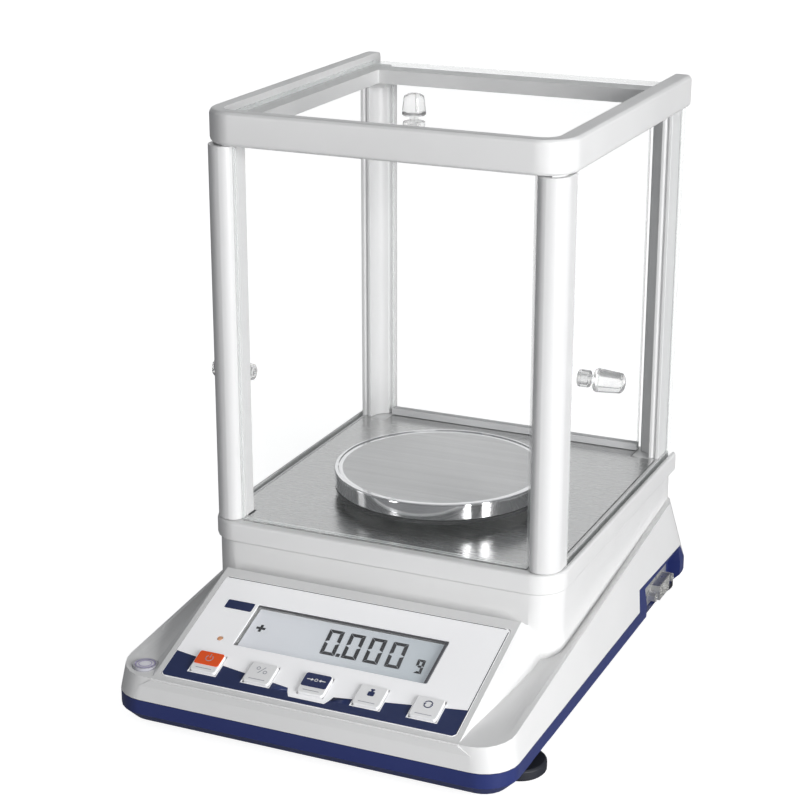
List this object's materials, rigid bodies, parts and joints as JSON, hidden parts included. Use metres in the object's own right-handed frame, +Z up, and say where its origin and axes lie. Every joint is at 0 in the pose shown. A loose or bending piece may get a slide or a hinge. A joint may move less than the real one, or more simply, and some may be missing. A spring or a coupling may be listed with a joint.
{
  "type": "analytical balance",
  "caption": "Top-loading laboratory balance: a sloped keypad and display, a round steel pan inside a glass draught shield with sliding doors, on levelling feet.",
  "frame": {"origin": "middle of the footprint box, on the surface the feet stand on", "axes": "+Z up, -Y towards the user and the keypad, +X to the user's right"},
  "size_m": [0.224, 0.301, 0.309],
  "materials": {
    "white_plastic": "satin white moulding",
    "white_post": "white powder coat on an aluminium extrusion",
    "blue_plastic": "satin deep blue moulding",
    "glass": "clear polished sheet",
    "clear_plastic": "clear moulded acrylic",
    "black_rubber": "matte black",
    "black_plastic": "matte black",
    "foot_rubber": "matte near-black, knurled",
    "plate_steel": "brushed stainless sheet",
    "pan_steel": "polished skirt, brushed top",
    "cast_aluminium": "machined",
    "screw_steel": "bright plated",
    "circuit_board": "green solder mask",
    "lcd_grey": "pale grey display",
    "overlay_film": "printed film, fine matte",
    "white_key": "printed soft plastic",
    "orange_key": "orange soft plastic",
    "navy_key": "navy soft plastic"
  },
  "bodies": {
    "base": {"lower_tray": "blue_plastic", "upper_housing": "white_plastic", "shield_base_ring": "white_plastic", "top_frame": "white_plastic", "front_left_post": "white_post", "front_right_post": "white_post", "rear_left_post": "white_post", "rear_right_post": "white_post", "front_glass": "glass", "rear_glass": "glass", "rear_glass_seal": "black_rubber", "chamber_floor_plate": "plate_steel", "pan_support": "cast_aluminium", "load_cell": "cast_aluminium", "load_cell_bracket": "plate_steel", "main_board": "circuit_board", "display_board": "circuit_board", "lcd_module": "lcd_grey", "lcd_window": "glass", "panel_overlay": "overlay_film", "status_led": "orange_key", "level_cup": "black_plastic", "level_vial": "clear_plastic", "data_connector": "screw_steel", "jack_screw_front": "screw_steel", "jack_screw_rear": "screw_steel", "earth_screw": "screw_steel", "power_inlet": "black_plastic", "tray_screw_front_left": "screw_steel", "tray_screw_front_right": "screw_steel", "tray_screw_rear_left": "screw_steel", "tray_screw_rear_right": "screw_steel"},
    "left_door": {"left_door_glass": "glass", "left_door_knob": "clear_plastic", "left_door_knob_nut": "clear_plastic"},
    "right_door": {"right_door_glass": "glass", "right_door_knob": "clear_plastic", "right_door_knob_nut": "clear_plastic"},
    "top_door": {"top_door_glass": "glass", "top_door_knob": "clear_plastic", "top_door_knob_nut": "clear_plastic"},
    "pan": {"weighing_pan": "pan_steel", "pan_foot_band": "black_plastic"},
    "key_power": {"key_power": "orange_key"},
    "key_count": {"key_count": "white_key"},
    "key_tare": {"key_tare": "navy_key"},
    "key_calibrate": {"key_calibrate": "white_key"},
    "key_print": {"key_print": "white_key"},
    "stud_front_left": {"foot_stud_front_left": "screw_steel"},
    "wheel_front_left": {"foot_front_left": "foot_rubber"},
    "stud_rear_left": {"foot_stud_rear_left": "screw_steel"},
    "wheel_rear_left": {"foot_rear_left": "foot_rubber"},
    "stud_front_right": {"foot_stud_front_right": "screw_steel"},
    "wheel_front_right": {"foot_front_right": "foot_rubber"},
    "stud_rear_right": {"foot_stud_rear_right": "screw_steel"},
    "wheel_rear_right": {"foot_rear_right": "foot_rubber"}
  },
  "joints": [
    {"name": "left_door_slide", "type": "slide", "parent": "base", "child": "left_door", "axis": [0, 1, 0], "range_m": [0, 0.12]},
    {"name": "right_door_slide", "type": "slide", "parent": "base", "child": "right_door", "axis": [0, 1, 0], "range_m": [0, 0.12]},
    {"name": "top_door_slide", "type": "slide", "parent": "base", "child": "top_door", "axis": [0, 1, 0], "range_m": [0, 0.12]},
    {"name": "pan_lift", "type": "slide", "parent": "base", "child": "pan", "axis": [0, 0, 1], "range_m": [0, 0.03]},
    {"name": "key_power_press", "type": "slide", "parent": "base", "child": "key_power", "axis": [0, 0.332, -0.9433], "range_m": [0, 0.001], "stiffness_N_per_m": 800},
    {"name": "key_count_press", "type": "slide", "parent": "base", "child": "key_count", "axis": [0, 0.332, -0.9433], "range_m": [0, 0.001], "stiffness_N_per_m": 800},
    {"name": "key_tare_press", "type": "slide", "parent": "base", "child": "key_tare", "axis": [0, 0.332, -0.9433], "range_m": [0, 0.001], "stiffness_N_per_m": 800},
    {"name": "key_calibrate_press", "type": "slide", "parent": "base", "child": "key_calibrate", "axis": [0, 0.332, -0.9433], "range_m": [0, 0.001], "stiffness_N_per_m": 800},
    {"name": "key_print_press", "type": "slide", "parent": "base", "child": "key_print", "axis": [0, 0.332, -0.9433], "range_m": [0, 0.001], "stiffness_N_per_m": 800},
    {"name": "foot_front_left_height", "type": "slide", "parent": "base", "child": "stud_front_left", "axis": [0, 0, 1], "range_m": [-0.004, 0]},
    {"name": "foot_front_left_turn", "type": "hinge", "parent": "stud_front_left", "child": "wheel_front_left", "pos_m": [-0.0962, -0.1038, 0], "axis": [0, 0, 1], "range_deg": [-1152, 0]},
    {"name": "foot_rear_left_height", "type": "slide", "parent": "base", "child": "stud_rear_left", "axis": [0, 0, 1], "range_m": [-0.004, 0]},
    {"name": "foot_rear_left_turn", "type": "hinge", "parent": "stud_rear_left", "child": "wheel_rear_left", "pos_m": [-0.088, 0.1315, 0], "axis": [0, 0, 1], "range_deg": [-1152, 0]},
    {"name": "foot_front_right_height", "type": "slide", "parent": "base", "child": "stud_front_right", "axis": [0, 0, 1], "range_m": [-0.004, 0]},
    {"name": "foot_front_right_turn", "type": "hinge", "parent": "stud_front_right", "child": "wheel_front_right", "pos_m": [0.0962, -0.1038, 0], "axis": [0, 0, 1], "range_deg": [-1152, 0]},
    {"name": "foot_rear_right_height", "type": "slide", "parent": "base", "child": "stud_rear_right", "axis": [0, 0, 1], "range_m": [-0.004, 0]},
    {"name": "foot_rear_right_turn", "type": "hinge", "parent": "stud_rear_right", "child": "wheel_rear_right", "pos_m": [0.088, 0.1315, 0], "axis": [0, 0, 1], "range_deg": [-1152, 0]}
  ],
  "couplings": [
    {"joint": "foot_front_left_turn", "follows": "foot_front_left_height", "rad_per_m": 5026.5},
    {"joint": "foot_rear_left_turn", "follows": "foot_rear_left_height", "rad_per_m": 5026.5},
    {"joint": "foot_front_right_turn", "follows": "foot_front_right_height", "rad_per_m": 5026.5},
    {"joint": "foot_rear_right_turn", "follows": "foot_rear_right_height", "rad_per_m": 5026.5}
  ]
}
